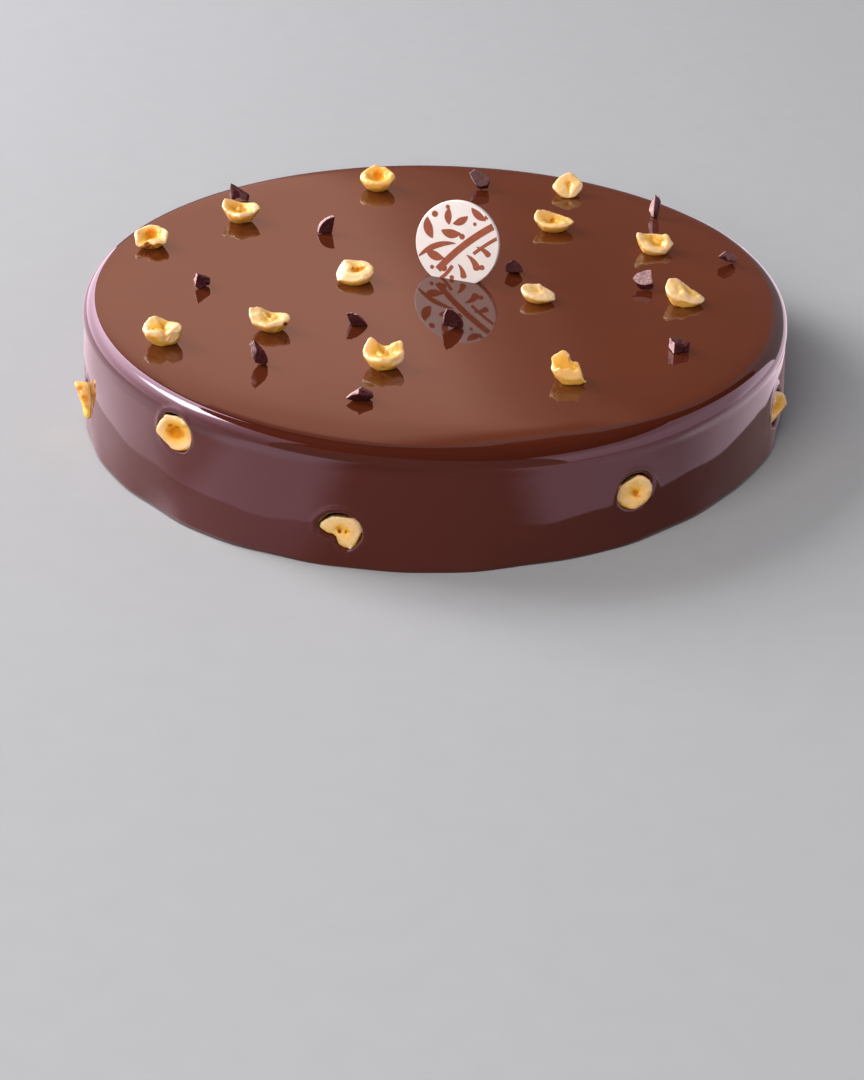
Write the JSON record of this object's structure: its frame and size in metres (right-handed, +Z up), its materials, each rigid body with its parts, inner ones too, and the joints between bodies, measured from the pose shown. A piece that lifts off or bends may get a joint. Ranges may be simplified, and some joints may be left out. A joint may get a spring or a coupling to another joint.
{
  "type": "hazelnut cake",
  "caption": "Round uncut hazelnut cake under a mirror chocolate glaze, with broken hazelnut halves and dark chocolate pieces on its top and side and a small printed white chocolate medallion.",
  "frame": {"origin": "the middle of the cake's flat underside, on the surface it stands on", "axes": "+Z up; -Y is the front, the side that faces the viewer; +X is to the viewer's right"},
  "size_m": [0.2621, 0.2634, 0.0715],
  "materials": {
    "chocolate_glaze": null,
    "hazelnut": null,
    "dark_chocolate": null,
    "white_chocolate": null
  },
  "bodies": {
    "root": {"cake": "chocolate_glaze", "hazelnut_top_01": "hazelnut", "hazelnut_top_02": "hazelnut", "hazelnut_top_03": "hazelnut", "hazelnut_top_04": "hazelnut", "hazelnut_top_05": "hazelnut", "hazelnut_top_06": "hazelnut", "hazelnut_top_07": "hazelnut", "hazelnut_top_08": "hazelnut", "hazelnut_top_09": "hazelnut", "hazelnut_top_10": "hazelnut", "hazelnut_top_11": "hazelnut", "hazelnut_top_12": "hazelnut", "hazelnut_top_13": "hazelnut", "hazelnut_side_01": "hazelnut", "hazelnut_side_02": "hazelnut", "hazelnut_side_03": "hazelnut", "hazelnut_side_04": "hazelnut", "hazelnut_side_05": "hazelnut", "hazelnut_side_06": "hazelnut", "hazelnut_side_07": "hazelnut", "hazelnut_side_08": "hazelnut", "hazelnut_side_09": "hazelnut", "hazelnut_side_10": "hazelnut", "chocolate_01": "dark_chocolate", "chocolate_02": "dark_chocolate", "chocolate_03": "dark_chocolate", "chocolate_04": "dark_chocolate", "chocolate_05": "dark_chocolate", "chocolate_06": "dark_chocolate", "chocolate_07": "dark_chocolate", "chocolate_08": "dark_chocolate", "chocolate_09": "dark_chocolate", "chocolate_10": "dark_chocolate", "chocolate_11": "dark_chocolate", "chocolate_12": "dark_chocolate", "chocolate_13": "dark_chocolate", "medallion": "white_chocolate"}
  },
  "joints": []
}
